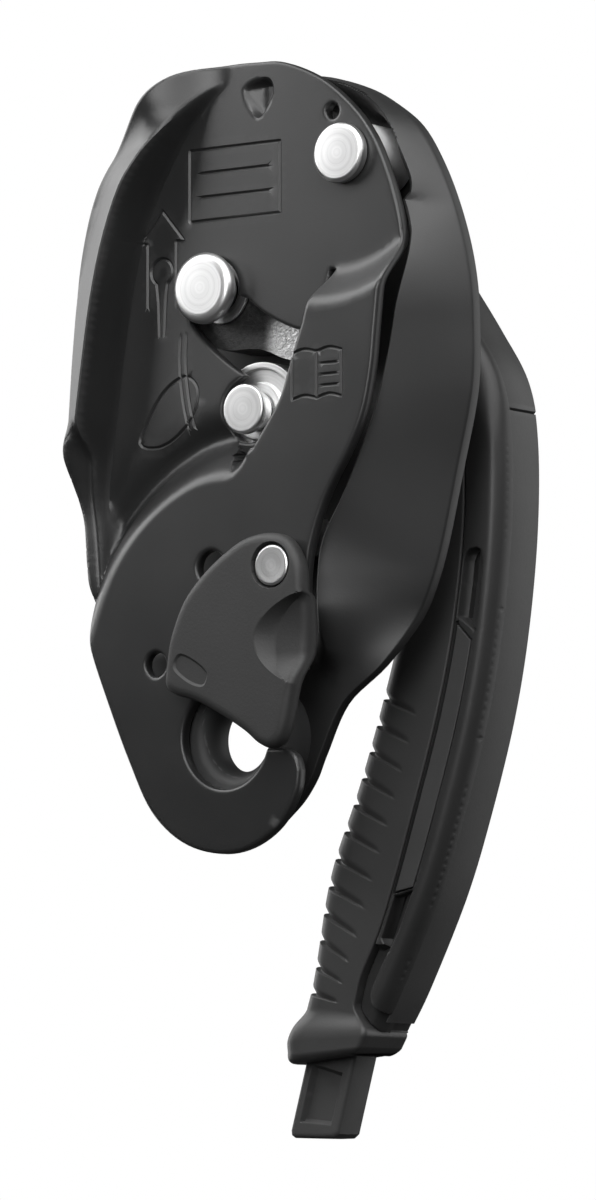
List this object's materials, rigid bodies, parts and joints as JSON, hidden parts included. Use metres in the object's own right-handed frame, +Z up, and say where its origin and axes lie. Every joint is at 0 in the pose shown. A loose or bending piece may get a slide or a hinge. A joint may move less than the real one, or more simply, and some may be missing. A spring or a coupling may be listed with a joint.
{
  "type": "self-braking descender",
  "caption": "Self-braking rope descender with two formed side plates, a swinging gate plate, a cam between the plates and a curved handle with an end button",
  "frame": {"origin": "On the axis of the carabiner hole, midway between the two side plates", "axes": "-Y is the front, the side of the moving plate; +Z is up, from the carabiner hole to the cam; +X is the side of the gate mouth and the handle"},
  "size_m": [0.0872, 0.0511, 0.2161],
  "materials": {
    "anodised_black": "satin black anodised aluminium alloy sheet",
    "turned_steel": "bright turned stainless steel with concentric tool marks",
    "cast_steel": "shot-blasted cast stainless steel, polished where the rope runs",
    "spring_steel": "drawn spring wire",
    "gate_plastic": "fine-textured black moulded nylon",
    "handle_plastic": "satin black moulded nylon",
    "grip_rubber": "soft black overmoulded rubber"
  },
  "bodies": {
    "frame": {"fixed_side_plate": "anodised_black", "plate_pivot_axle": "turned_steel", "plate_pivot_sleeve": "turned_steel", "cam_axle": "turned_steel", "cam_axle_collar": "turned_steel", "axle_nut": "cast_steel", "rope_post": "turned_steel", "rope_post_bush": "cast_steel", "friction_plate": "cast_steel", "friction_rivet_upper": "turned_steel", "friction_rivet_lower": "turned_steel", "attachment_sleeve": "anodised_black"},
    "moving_plate": {"moving_side_plate": "anodised_black", "gate_rivet": "turned_steel", "gate_washer": "turned_steel", "gate_spring": "spring_steel"},
    "gate": {"gate": "gate_plastic"},
    "cam": {"cam": "cast_steel", "cam_bush": "turned_steel", "cam_spring": "spring_steel", "catch_pin": "turned_steel", "catch_spring": "spring_steel"},
    "catch": {"catch": "cast_steel"},
    "handle": {"handle_arm": "anodised_black", "handle_hub_cover": "handle_plastic", "handle_return_spring": "spring_steel", "handle_shell": "handle_plastic", "handle_side_cover": "handle_plastic", "handle_spine_strip": "handle_plastic", "handle_grip": "grip_rubber", "handle_screw_upper": "turned_steel", "handle_screw_lower": "turned_steel", "end_button_spring": "spring_steel"},
    "end_button": {"end_button": "gate_plastic", "inner_lever": "anodised_black"}
  },
  "joints": [
    {"name": "side_plate_swing", "type": "hinge", "parent": "frame", "child": "moving_plate", "pos_m": [0.0237, 0, 0.1153], "axis": [0, 1, 0], "range_deg": [0, 100]},
    {"name": "gate_pivot", "type": "hinge", "parent": "moving_plate", "child": "gate", "pos_m": [0.0148, 0, 0.0328], "axis": [0, 1, 0], "range_deg": [0, 25], "stiffness_Nm_per_rad": 0.02, "springref_deg": -20.05},
    {"name": "handle_swing", "type": "hinge", "parent": "frame", "child": "handle", "pos_m": [-0.0088, 0, 0.0908], "axis": [0, 1, 0], "range_deg": [-140, 0]},
    {"name": "cam_pivot", "type": "hinge", "parent": "frame", "child": "cam", "pos_m": [-0.0088, 0, 0.0908], "axis": [0, 1, 0], "range_deg": [-28, 0]},
    {"name": "catch_pivot", "type": "hinge", "parent": "cam", "child": "catch", "pos_m": [-0.0095, 0, 0.1022], "axis": [0, 1, 0], "range_deg": [-22, 0], "stiffness_Nm_per_rad": 0.002, "springref_deg": 20.05},
    {"name": "end_button_press", "type": "slide", "parent": "handle", "child": "end_button", "axis": [0.2672, 0, 0.9636], "range_m": [0, 0.003], "stiffness_N_per_m": 600, "springref_m": -0.002}
  ],
  "couplings": [
    {"joint": "cam_pivot", "follows": "handle_swing", "ratio": 0.2}
  ]
}
